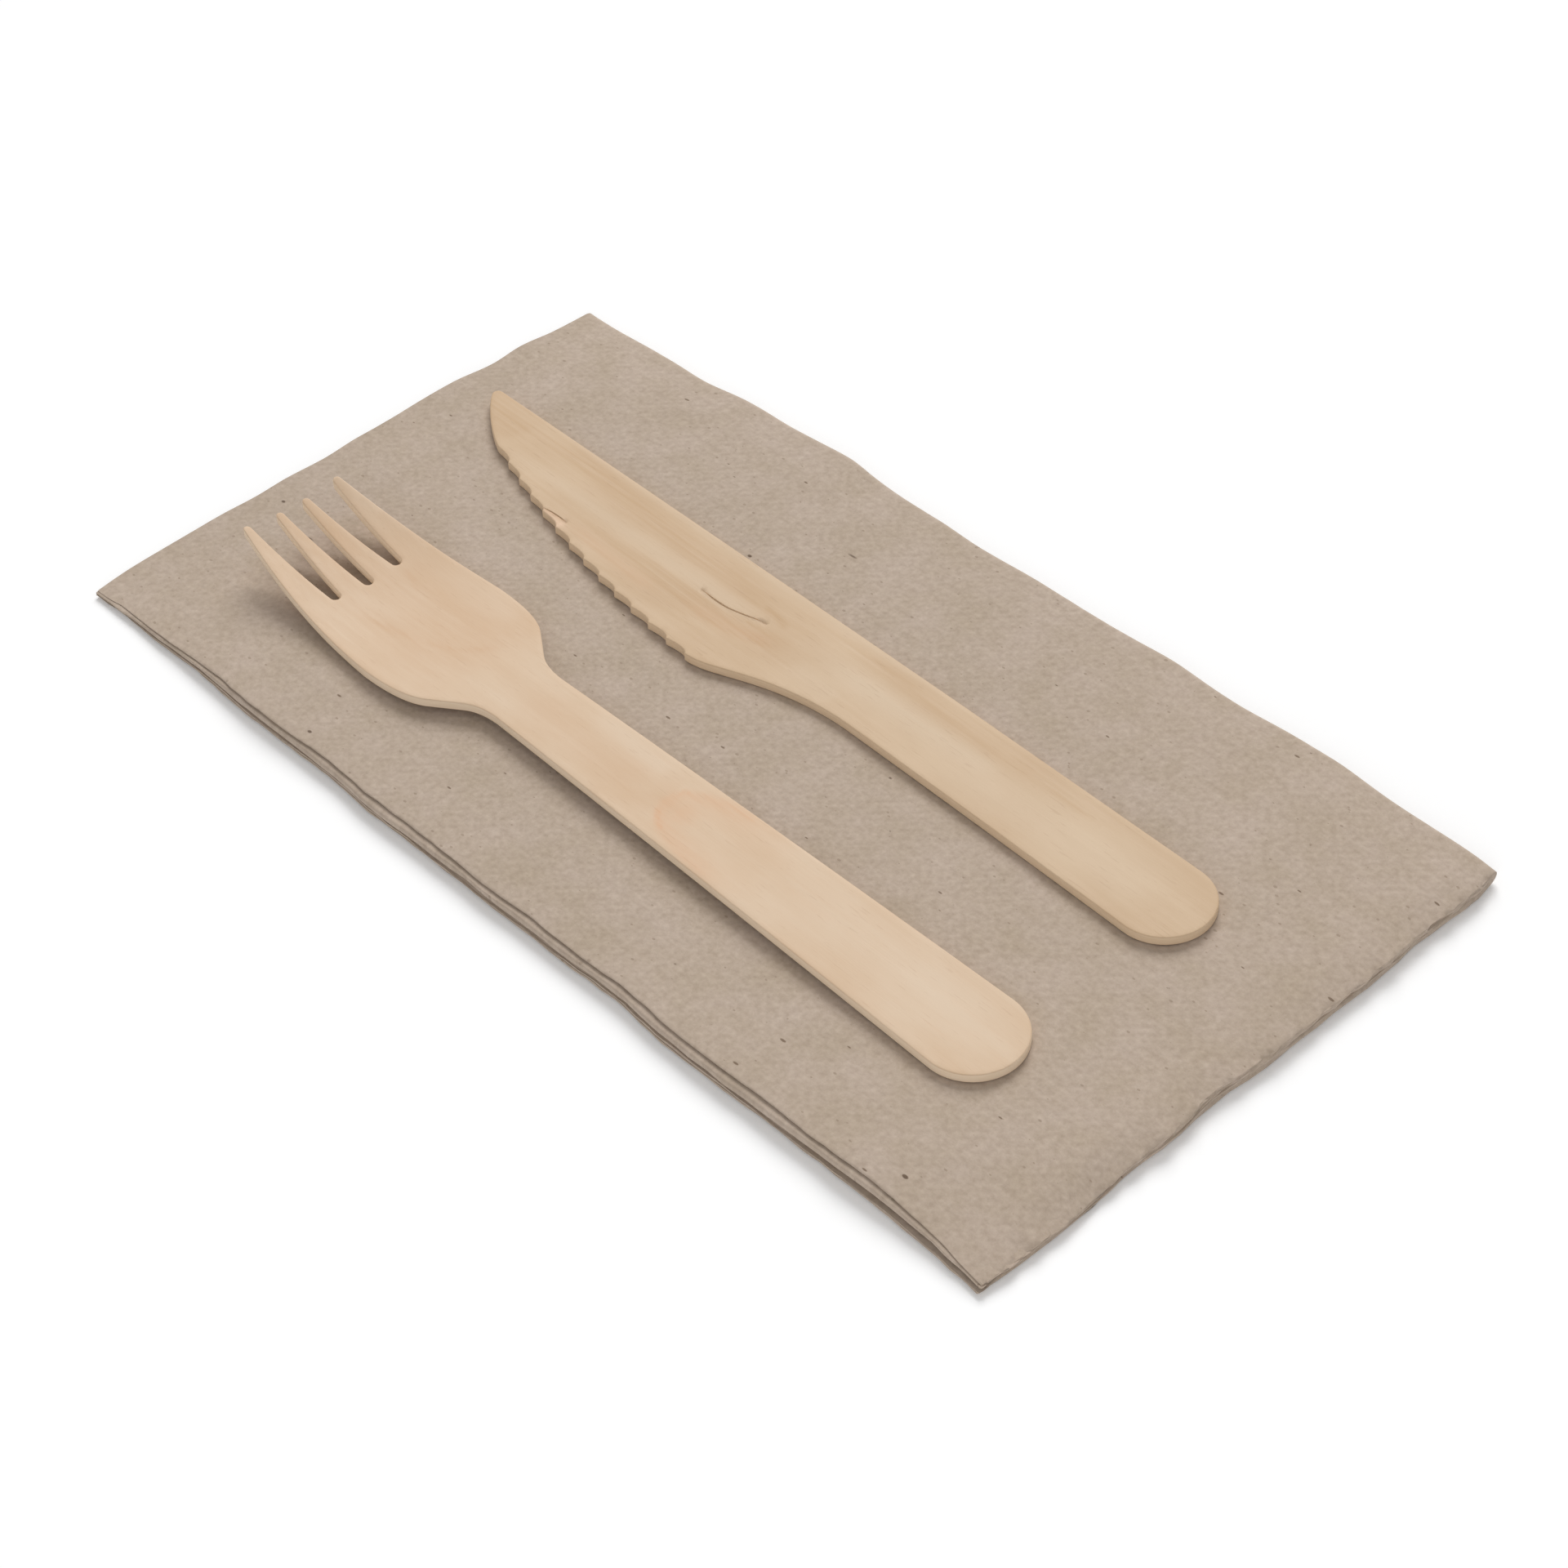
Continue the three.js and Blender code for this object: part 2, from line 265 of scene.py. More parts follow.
# One fold of a stack: up to the crease it lies still, then it turns half a circle about an
# axis just above itself and runs back over the rest.
def foldOver(along, height, depth, crease):
    axis = depth + napkinSpec["air"] / 2
    arc = math.pi * axis / 2
    radius = axis - height
    turn = math.pi * np.clip((along - crease) / arc, 0, 1)
    past = np.maximum(along - crease - arc, 0)
    folded = crease + radius * np.sin(turn) - past
    still = along <= crease
    return np.where(still, along, folded), np.where(still, height, axis - radius * np.cos(turn))


# Grid lines from start to stop, no further apart than the step.
def evenly(start, stop, step):
    return np.linspace(start, stop, int(math.ceil(abs(stop - start) / step)) + 1)


# Waves along an edge, which shift from layer to layer and fade inwards.
def crinkled(kind, along, level, inwards):
    height, shift, seed, shortest, longest, reach = napkinSpec[kind]
    return height * ripples(along, shift * level, seed, shortest, longest) * fadeFrom(inwards, reach)


# Where each point of the even stack comes to in the real one. In plan it is pushed out by the
# bows and crinkles of the edges near it. Its height is its share of the stack's, changed by how
# the near left folds spring open, times the height that the top has there.
def wander(x, y, z, stack):
    n = napkinSpec
    level = z / stack
    left, right = x + n["length"] / 2, n["length"] / 2 - x
    near, far = y + n["width"] / 2, n["width"] / 2 - y

    calm = easeStep(0, n["cornerCalm"], far)
    outX = curveThrough(n["nearRightBow"], y) * fadeFrom(right, n["nearRightReach"])
    outX = outX - n["loopFlat"] * np.maximum(n["loopReach"] - right, 0)
    outX = outX - curveThrough(n["farLeftBow"], y) * fadeFrom(left, n["farLeftReach"])
    outX = outX + crinkled("nearRightCrinkle", y, level, right) * calm
    outX = outX + crinkled("farLeftCrinkle", y, level, left)
    outY = curveThrough(n["farRightBow"], x) * fadeFrom(far, n["farRightReach"])
    outY = outY - curveThrough(n["nearLeftBow"], x) * fadeFrom(near, n["nearLeftReach"])
    outY = outY + crinkled("nearLeftWave", x, level, near)
    outY = outY + crinkled("nearLeftCrinkle", x, level, near)

    # near left: the lower fold stands out under the upper one, over the lowest free edges, and the
    # free edges between them lie further in
    ledge = curveThrough(n["ledge"], x)
    out, start, stop = n["freeOut"]
    free = n["freeStep"] - ledge - out * easeStep(start, stop, x)
    least, more, start, stop = n["upperFreeIn"]
    free = free + (least + more * easeStep(start, stop, x)) * easeStep(*n["upperFree"], level)
    folds = ledge * np.interp(level, *n["foldsIn"])
    lower = level < n["halfway"]
    outY = outY + np.where(lower, free, folds) * fadeFrom(near, n["ledgeReach"])

    # height: at that edge the folds spring open, above a gap that is widest at the near corner
    under, over = curveThrough(n["freeTop"], x), curveThrough(n["foldBottom"], x)
    lowest = under * np.interp(level, *n["freeLayers"])
    highest = over + (1 - over) * np.interp(level, *n["foldLayers"])
    tall = level + (np.where(lower, lowest, highest) - level) * fadeFrom(near, n["springReach"])

    fade = fadeFrom(right, n["nearRightFallReach"]) ** n["nearRightFallPower"]
    fall = curveThrough(n["nearRightFall"], y) * fade
    for inwards, kind in ((left, "farLeftFall"), (far, "farRightFall"), (near, "nearLeftFall")):
        drop, reach = n[kind]
        fall = fall + drop * fadeFrom(inwards, reach)
    keep = 1 - fall / n["top"]
    for cornerX, cornerY, drop, reach in n["corners"]:
        away = np.hypot(x - cornerX, y - cornerY)
        keep = keep * (1 - drop / n["top"] * fadeFrom(away, reach))
    sunk = sum(drop * (1 + ripples(x, y, *waves)) for drop, *waves in n["swells"])
    rise = curveThrough(n["rise"], x) * fadeFrom(near, n["riseReach"])
    top = (n["top"] - np.maximum(sunk, 0) + rise) * keep
    height, reach = n["crest"]
    _, shift, *waves, _ = n["nearRightCrinkle"]
    top = top + height * ripples(y, shift * level, *waves) * calm * fadeFrom(right, reach)
    height, nearReach, rightReach = n["lift"]
    lift = height * np.maximum(fadeFrom(near, nearReach), fadeFrom(right, rightReach))
    return x + outX, y + outY, lift + tall * (top - lift)


# The faces of a closed slab over a grid of points: its two sides, and a rim round its ends. The
# index holds each point's number, by its place along, its place across and its side.
def slabFaces(index):
    lower, upper = index[..., 0], index[..., 1]

    def cell(grid, i, j):
        return grid[i : grid.shape[0] - 1 + i, j : grid.shape[1] - 1 + j]

    def rim(a, b):
        return np.stack([a[:-1], a[1:], b[1:], b[:-1]], axis=-1)

    around = ((0, 0), (1, 0), (1, 1), (0, 1))
    top = np.stack([cell(upper, i, j) for i, j in around], axis=-1)
    bottom = np.stack([cell(lower, j, i) for i, j in around], axis=-1)
    return np.concatenate([
        top.reshape(-1, 4),
        bottom.reshape(-1, 4),
        rim(lower[:, 0], upper[:, 0]),
        rim(upper[:, -1], lower[:, -1]),
        rim(upper[0], lower[0]),
        rim(lower[-1], upper[-1]),
    ])


# The sheet is a grid of two sides, one paper thickness apart, carried through three folds: the
# first halves its width, the second halves its length, and the third brings the first fold back
# over the free edges.
def makeNapkin(material):
    n = napkinSpec
    paper, air = n["paper"], n["air"]
    half = 2 * paper + air
    quarter = 2 * half + air
    stack = 2 * quarter + air
    firstAxis, secondAxis, lastAxis = paper + air / 2, half + air / 2, quarter + air / 2
    firstArc, secondArc, lastArc = (math.pi / 2 * axis for axis in (firstAxis, secondAxis, lastAxis))
    lowerRun = n["width"] - lastAxis
    upperRun = lowerRun - n["freeStep"] - firstAxis
    lastCrease = -upperRun - lastArc
    freeEdge = lastCrease - lowerRun
    lengthRun = n["length"] - secondAxis

    # grid lines on the flat sheet, close together where it bends and on what shows
    bends = n["bendSteps"] + 1
    lastLines = np.linspace(lastCrease, lastCrease + lastArc, bends)
    topPanel = evenly(lastLines[-1], 0, n["fine"])
    panelBelow = evenly(lastLines[-1], 0, n["coarse"])
    lowestPanel = evenly(freeEdge, lastCrease, n["coarse"])
    across = np.concatenate([
        lowestPanel,
        lastLines,
        topPanel,
        np.linspace(0, firstArc, bends),
        firstArc - panelBelow,
        firstArc - lastLines,
        firstArc - lowestPanel,
    ])
    along = np.concatenate([
        evenly(-lengthRun, -lengthRun + n["endRun"], n["fine"]),
        evenly(-lengthRun + n["endRun"], -n["creaseRun"], n["middling"]),
        evenly(-n["creaseRun"], 0, n["fine"]),
        np.linspace(0, secondArc, bends),
        secondArc + evenly(0, n["creaseRun"], n["fine"]),
        secondArc + evenly(n["creaseRun"], lengthRun, n["coarse"]),
    ])
    along, across = (np.unique(np.round(lines, 6)) for lines in (along, across))  # no line twice

    u, v, face = np.meshgrid(along, across, [0.0, 1.0], indexing="ij")
    halved, height = foldOver(v, face * paper, paper, 0)
    x, height = foldOver(u, height, half, 0)
    y, z = foldOver(halved, height, quarter, lastCrease)
    x = x + n["length"] / 2 - secondAxis
    y = y - lastCrease + n["width"] / 2 - lastAxis
    x, y, z = wander(x, y, z, stack)
    points = np.stack([x, y, z], axis=-1).reshape(-1, 3)
    faces = slabFaces(np.arange(u.size).reshape(u.shape))
    napkin = addPiece("napkin", points, faces.tolist(), material)

    # the UV map is the flat sheet, so that the pulp runs through every fold
    mesh = napkin.data
    corners = np.empty(len(mesh.loops), np.int32)
    mesh.loops.foreach_get("vertex_index", corners)
    flat = np.stack([u / n["uvSide"] + 0.5, v / n["uvSide"] + 0.5], axis=-1).reshape(-1, 2)
    mesh.uv_layers.new(name="flatSheet").data.foreach_set("uv", flat[corners].ravel())
    smoothBelow(mesh, n["smoothAngle"])


# The fork and the knife

veneer = {
    "thick": 1.5,
    "outlineStep": 0.32,
    "sharpTurn": 0.3,  # in radians: a corner of an outline that turns by more stays a corner
    "roundLines": 4,  # grid lines over each worn edge
    "gridStep": 0.62,
    "gridHalf": 15.3,  # the grid reaches this far to both sides of a piece's middle line
    "ringClear": 0.6,  # it stays this share of its step away from the outline
    "cleftClear": 0.22,  # and this far from a cleft
    "mergeWithin": 0.002,
    "smoothAngle": 42,
    # a growth mark fades in up to the first share of its length and out from the second, and the
    # least of it is left at its ends
    "markIn": 0.3,
    "markOut": 0.85,
    "markLeast": 0.25,
    # a cleft's lines are drawn in steps, open to their full width where the taper times half a
    # sine wave is past 1, and never open less than the least
    "cleftStep": 0.4,
    "cleftTaper": 1.6,
    "cleftLeast": 0.1,
    # shares of a cleft's half width over which it has depth and is dark
    "cleftFloor": 0.4,
    "cleftDark": 0.6,
    "tints": ("pale", "brown", "amber", "fresh", "cleft"),  # laid over each other in this order
}


# Points along the curve that its control points pull: a straight line for two of them.
def pulled(*controls, count=48):
    t = np.linspace(0, 1, count)[:, None]
    level = [np.array(c, float)[None] for c in controls]
    while len(level) > 1:
        level = [a + (b - a) * t for a, b in zip(level, level[1:])]
    return level[0]


# Points round an arc, from one angle to another in degrees.
def aroundPoint(centre, radius, start, stop, count=48):
    a = np.radians(np.linspace(start, stop, count))
    return np.column_stack([centre[0] + radius * np.cos(a), centre[1] + radius * np.sin(a)])


# Where the line through two points comes to a given height.
def crossing(a, b, height):
    return a[0] + (height - a[1]) * (b[0] - a[0]) / (b[1] - a[1])


forkSpec = {
    "slot": "fork_birch",
    "place": (-82.7, -22, 3.22),  # the tips' middle, and the lowest line of the underside
    "turn": -0.33,
    "length": 158.4,
    "round": 0.26,  # worn edge of the stamped veneer
    "endHalf": 7.9,
    "headHalf": 13.2,
    "headAt": 35.1,
    "shoulderTop": (47.6, 10.9),
    "shoulderFoot": (52.3, 7.7),
    "neckHalf": 6.17,
    "neckAt": 58.6,
    "rimHalf": 9.3,
    "rimBow": 0.9,
    "tipWidth": 1.4,
    "innerTine": 2.5,
    "slotWidth": 1.7,
    "outerSlot": (19.3, 5.87),
    "middleSlot": 19.8,
    "bowlAt": 27.1,
    "lift": 4.5,
    "cup": 1.0,
    "arch": 1.0,
    "archAt": 55,
}


# Half of the fork's outline, from the end of the handle by the neck, the shoulder and the rim to
# the tines and the middle slot, then the same mirrored.
def forkOutline():
    f = forkSpec
    middle = f["length"] - f["endHalf"]
    tip, slot = f["tipWidth"] / 2, f["slotWidth"] / 2
    top, foot = f["shoulderTop"], f["shoulderFoot"]
    neck, head, headAt, rim = f["neckHalf"], f["headHalf"], f["headAt"], f["rimHalf"]
    half = np.vstack([
        aroundPoint((middle, 0), f["endHalf"], 0, 90),
        pulled((f["neckAt"], neck), (crossing(top, foot, neck), neck), foot),
        pulled(top, (crossing(top, foot, head), head), (headAt, head)),
        pulled((headAt, head), (headAt / 2, head - f["rimBow"]), (tip, rim)),
        aroundPoint((tip, rim - tip), tip, 90, 270),
        aroundPoint((f["outerSlot"][0] - slot, f["outerSlot"][1]), slot, 90, -90),
        aroundPoint((tip, f["innerTine"]), tip, 90, 270),
        aroundPoint((f["middleSlot"] - slot, 0), slot, 90, 0),
    ])
    return np.vstack([half, half[-2:0:-1] * (1, -1)])


# Height of the pressed underside: the tines' curl and cup grow with the square of the
# distance from the bowl or the neck, and the handle arches over.
def forkRise(s, v):
    f = forkSpec
    curl = f["lift"] * (np.maximum(f["bowlAt"] - s, 0) / f["bowlAt"]) ** 2
    cup = f["cup"] * (np.maximum(f["archAt"] - s, 0) / f["archAt"] * v / f["rimHalf"]) ** 2
    down = np.maximum(s - f["archAt"], 0) / (f["length"] - f["archAt"])
    return curl + cup + f["arch"] * easeStep(f["bowlAt"], f["archAt"], s) * (1 - down**2)


knifeSpec = {
    "slot": "knife_birch",
    "place": (-88.2, 17.1, 3.22),  # the point, by the handle's middle line, and the underside
    "turn": -1.45,
    "length": 164.7,
    "round": 0.24,
    "endHalf": 7.6,
    "endMiddle": -0.15,
    "spine": 7.47,
    "spineFlatAt": 109,
    "point": 6.5,
    "pointRound": 1.1,
    "nose": ((0, 4.5), (6.3, -0.8)),
    "edgeStart": (12.2, -3.1),
    "edgeEnd": (72.1, -14.3),
    "crown": 2.1,
    "teeth": 13,
    "toothDepth": 0.5,
    # where along a tooth its hollow is pulled in, and by how many depths: most near its handle end
    "toothPulls": [(0.35, 0.7), (0.85, 1.85)],
    "edgeSteps": 400,
    "heel": (77.5, -13.0),
    "blend": (81.5, -11.35),
    "neck": (101, -7.4),
}


# The knife's outline, from the first tooth along the edge, the heel and the handle to the spine
# and the nose. The teeth stand on a curved line, and each ends a hollow.
def knifeOutline():
    k = knifeSpec
    start, end = np.array(k["edgeStart"]), np.array(k["edgeEnd"])
    chord = end - start
    outward = np.array([chord[1], -chord[0]]) / np.hypot(*chord)
    edge = pulled(start, (start + end) / 2 + outward * 2 * k["crown"], end, count=k["edgeSteps"])
    along = np.concatenate([[0], np.cumsum(np.hypot(*np.diff(edge, axis=0).T))])
    at = np.linspace(0, along[-1], k["teeth"] + 1)
    tips = np.column_stack([np.interp(at, along, edge[:, 0]), np.interp(at, along, edge[:, 1])])
    hollow = k["toothDepth"] * outward
    path = []
    for a, b in zip(tips, tips[1:]):
        pulls = [a + (b - a) * place - depths * hollow for place, depths in k["toothPulls"]]
        path.append(pulled(a, *pulls, b))
    heel, blend, neck = k["heel"], k["blend"], k["neck"]
    spine, flatAt, point, roundTo = k["spine"], k["spineFlatAt"], k["point"], k["pointRound"]
    middle = k["length"] - k["endHalf"]
    path += [
        pulled(end, (crossing(heel, blend, end[1]), end[1]), heel),
        pulled(blend, (crossing(heel, blend, neck[1]), neck[1]), neck),
        pulled(neck, ((neck[0] + middle) / 2, neck[1]), (middle, k["endMiddle"] - k["endHalf"])),
        aroundPoint((middle, k["endMiddle"]), k["endHalf"], -90, 90),
        pulled((flatAt, spine), (flatAt / 3, (spine + point) / 2), (roundTo, point)),
        pulled((roundTo, point), (0, point), (0, point - roundTo)),
        pulled((0, point - roundTo), *k["nose"], start),
    ]
    return np.vstack(path)


# A closed path walked in even steps from each sharp corner to the next.
def evenSteps(path):
    step = veneer["outlineStep"]
    path = path[np.hypot(*(path - np.roll(path, 1, axis=0)).T) > 1e-6]  # no point twice
    back, ahead = path - np.roll(path, 1, axis=0), np.roll(path, -1, axis=0) - path
    turned = np.arctan2(back[:, 0] * ahead[:, 1] - back[:, 1] * ahead[:, 0], np.sum(back * ahead, axis=1))
    ring = np.vstack([path, path[:1]])
    along = np.concatenate([[0], np.cumsum(np.hypot(*np.diff(ring, axis=0).T))])
    stops = np.concatenate([[0], along[:-1][np.abs(turned) > veneer["sharpTurn"]], along[-1:]])
    at = np.concatenate([
        np.linspace(a, b, max(int((b - a) / step), 1), endpoint=False)
        for a, b in zip(stops, stops[1:]) if b > a
    ])
    return np.column_stack([np.interp(at, along, ring[:, 0]), np.interp(at, along, ring[:, 1])])


# How far each point lies from a bent line, signed: positive on the line's left. Also how far
# along the line, from 0 to 1, its nearest place is.
def fromLine(line, s, v):
    line = np.array(line, float)
    a, b = line[:-1], line[1:]
    run = b - a
    ps, pv = s[:, None] - a[:, 0], v[:, None] - a[:, 1]
    t = np.clip((ps * run[:, 0] + pv * run[:, 1]) / np.sum(run**2, axis=1), 0, 1)
    ds, dv = ps - t * run[:, 0], pv - t * run[:, 1]
    away = np.hypot(ds, dv)
    nearest = np.argmin(away, axis=1)
    rows = np.arange(len(s))
    side = np.sign(run[:, 0] * pv - run[:, 1] * ps)[rows, nearest]
    lengths = np.hypot(run[:, 0], run[:, 1])
    before = np.concatenate([[0], np.cumsum(lengths)])
    place = (before[:-1] + t * lengths)[rows, nearest] / before[-1]
    return away[rows, nearest] * side, place


# Distance of each point from the nearest of a ring's corners, worked out in parts to save memory.
def fromRing(ring, points):
    away = []
    for part in np.array_split(points, 24):
        s, v = part[:, :1], part[:, 1:]
        away.append(np.min(np.hypot(s - ring[:, 0], v - ring[:, 1]), axis=1))
    return np.concatenate(away)


# The worn edge of a blank, carried round its outline as rings from the lower face to the upper:
# a quarter of a circle, the upright cut, and a quarter again, each ring set in from the outline.
def edgeRings(spec, outline):
    ring = evenSteps(outline)
    ahead = np.roll(ring, -1, axis=0) - np.roll(ring, 1, axis=0)
    ahead = ahead + 0.25 * (np.roll(ahead, 1, axis=0) + np.roll(ahead, -1, axis=0))  # corners softened
    inward = np.column_stack([-ahead[:, 1], ahead[:, 0]]) / np.hypot(*ahead.T)[:, None]
    a = np.linspace(0, math.pi / 2, veneer["roundLines"])
    inset = spec["round"] * (1 - np.sin(a))
    low = spec["round"] * (1 - np.cos(a))
    insets = np.concatenate([inset, inset[::-1]])
    heights = np.concatenate([low, veneer["thick"] - low[::-1]])
    rings = ring[None] + inward[None] * insets[:, None, None]
    upright = np.broadcast_to(heights[:, None, None], rings.shape[:2] + (1,))
    index = np.arange(rings.shape[0] * rings.shape[1]).reshape(rings.shape[:2])
    after = np.roll(index, -1, axis=1)
    faces = np.stack([index[:-1], after[:-1], after[1:], index[1:]], axis=-1).reshape(-1, 4)
    return rings[0], np.concatenate([rings, upright], axis=-1).reshape(-1, 3), faces


# A triangle net inside a border, over an even grid. The lines of any clefts are drawn into it.
def netInside(border, lines):
    step, reach = veneer["gridStep"], veneer["gridHalf"]
    across = np.arange(-reach, reach, step)
    gridS, gridV = np.meshgrid(np.arange(border[:, 0].min(), border[:, 0].max(), step), across)
    grid = np.column_stack([gridS.ravel(), gridV.ravel()])
    grid = grid[fromRing(border, grid) > veneer["ringClear"] * step]
    count = len(border)
    corners, edges = [border], [np.stack([np.arange(count), np.roll(np.arange(count), -1)], axis=-1)]
    for line in lines:
        grid = grid[np.abs(fromLine(line, grid[:, 0], grid[:, 1])[0]) > veneer["cleftClear"]]
        first = sum(len(c) for c in corners)
        corners.append(line)
        edges.append(np.stack([np.arange(len(line) - 1), np.arange(1, len(line))], axis=-1) + first)
    corners = [Vector(c) for c in np.vstack(corners + [grid])]
    edges = np.vstack(edges).tolist()
    insideOnly, closeness = 1, 1e-6
    filled = delaunay_2d_cdt(corners, edges, [list(range(count))], insideOnly, closeness)
    net = np.array([tuple(c) for c in filled[0]])
    used, triangles = np.unique(np.array(filled[2]), return_inverse=True)
    return net[used], triangles.reshape(-1, 3)


# A blank of veneer: its edge rings, and the same net for both of its faces.
def stampBlank(spec, outline, lines=()):
    border, walls, wallFaces = edgeRings(spec, outline)
    net, triangles = netInside(border, lines)
    upper = np.column_stack([net, np.full(len(net), veneer["thick"])])
    lower = np.column_stack([net, np.zeros(len(net))])
    upperFaces = triangles + len(walls)
    lowerFaces = triangles[:, ::-1] + len(walls) + len(net)
    faces = wallFaces.tolist() + upperFaces.tolist() + lowerFaces.tolist()
    return np.vstack([walls, upper, lower]), faces


# Turns a blank into a piece on the napkin. Its underside is at its rise, its upper face one
# thickness away from that, square to it, less what is carved out, and it is turned and placed.
def layVeneer(name, spec, blank, rise, carve, material):
    points, faces = blank
    s, v, h = points.T
    nudge = 0.01
    slopeS = (rise(s + nudge, v) - rise(s, v)) / nudge
    slopeV = (rise(s, v + nudge) - rise(s, v)) / nudge
    z = rise(s, v) + h * np.sqrt(1 + slopeS**2 + slopeV**2)
    z = z - carve(s, v) * np.isclose(h, veneer["thick"])
    turn = math.radians(spec["turn"])
    x = spec["place"][0] + s * math.cos(turn) - v * math.sin(turn)
    y = spec["place"][1] + s * math.sin(turn) + v * math.cos(turn)
    piece = addPiece(name, np.column_stack([x, y, z + spec["place"][2]]), faces, material)

    mesh = piece.data
    work = bmesh.new()
    work.from_mesh(mesh)
    bmesh.ops.remove_doubles(work, verts=work.verts, dist=veneer["mergeWithin"] * mm)
    work.to_mesh(mesh)
    work.free()
    smoothBelow(mesh, veneer["smoothAngle"])
    return piece


# Marks of tone, one attribute for each tint: the log's growth marks, and the knife's long bands.
# Each is strongest on its line and falls away to both sides of it as a bell curve. They read the
# piece's own s and v, turned back.
def addMarks(mesh, spec, marks):
    flat = np.empty(len(mesh.vertices) * 3)
    mesh.vertices.foreach_get("co", flat)
    x, y = (flat.reshape(-1, 3) / mm).T[:2] - np.array(spec["place"][:2])[:, None]
    turn = math.radians(spec["turn"])
    s, v = x * math.cos(turn) + y * math.sin(turn), y * math.cos(turn) - x * math.sin(turn)
    least = veneer["markLeast"]
    for tint in veneer["tints"]:
        total = np.zeros(len(s))
        for line, toLeft, toRight, strength in (mark[1:] for mark in marks if mark[0] == tint):
            away, place = fromLine(line, s, v)
            bell = np.exp(-((away / np.where(away > 0, toLeft, toRight)) ** 2))
            ends = easeStep(0, veneer["markIn"], place) * easeStep(1, veneer["markOut"], place)
            total = np.maximum(total, strength * bell * (least + (1 - least) * ends))
        mesh.attributes.new(tint, "FLOAT", "POINT").data.foreach_set("value", total)


# tint, line from tip to handle in s and v, reach to its left and right, strength
forkSpec["marks"] = [
    ("amber", [
        (107, 6.6), (103, 6.3), (97, 5.5), (93, 4.7), (90.4, 3.2), (89.2, 1.4), (89.1, -0.6),
        (89.9, -2.4), (91.6, -3.9), (94.5, -5.1), (100, -6), (108, -6.4),
    ], 2.6, 0.7, 0.34),
    ("amber", [(90.6, -1.2), (89.8, -2.3), (91.2, -3.6), (93.6, -4.7)], 0.7, 0.5, 0.65),
    ("amber", [(90.4, 3.8), (89.7, 2.6), (89.5, 1.2)], 0.6, 0.5, 0.55),
    ("amber", [(92.5, 4.6), (97, 5.6), (102, 6.1)], 0.8, 0.5, 0.42),
    ("amber", [(93, 3), (92.4, 0), (93.4, -2.6)], 2.6, 2.0, 0.3),
    ("brown", [
        (18, -7.4), (24, -5.7), (30, -4.2), (36, -2.8), (40, -1.3), (43, 0.8), (45.5, 3.6), (47, 6.5),
    ], 0.6, 1.5, 0.55),
    ("brown", [(36, -2.9), (39, -1.9), (41.6, -0.4)], 0.4, 0.6, 0.65),
    ("brown", [(20, 6.2), (23, 5.3), (27, 4)], 0.4, 0.8, 0.5),
    ("brown", [(52, -1), (62, -0.5), (74, -1), (87, 0)], 3.5, 3.5, 0.25),
    ("brown", [(-10, 0), (25, 0), (52, 0)], 16, 16, 0.34),
    ("brown", [(87.6, 6), (88.2, 2), (88.2, -4)], 0.6, 3.2, 0.2),
    ("pale", [(66, 4), (76, 4.4), (86, 3.6)], 2.6, 2.2, 0.5),
    ("pale", [(103, 1), (118, 1.5), (135, 2), (156, 1)], 7, 6, 0.4),
    ("pale", [(22, 9.4), (34, 10.6), (44, 9.6)], 1.8, 2.2, 0.3),
]
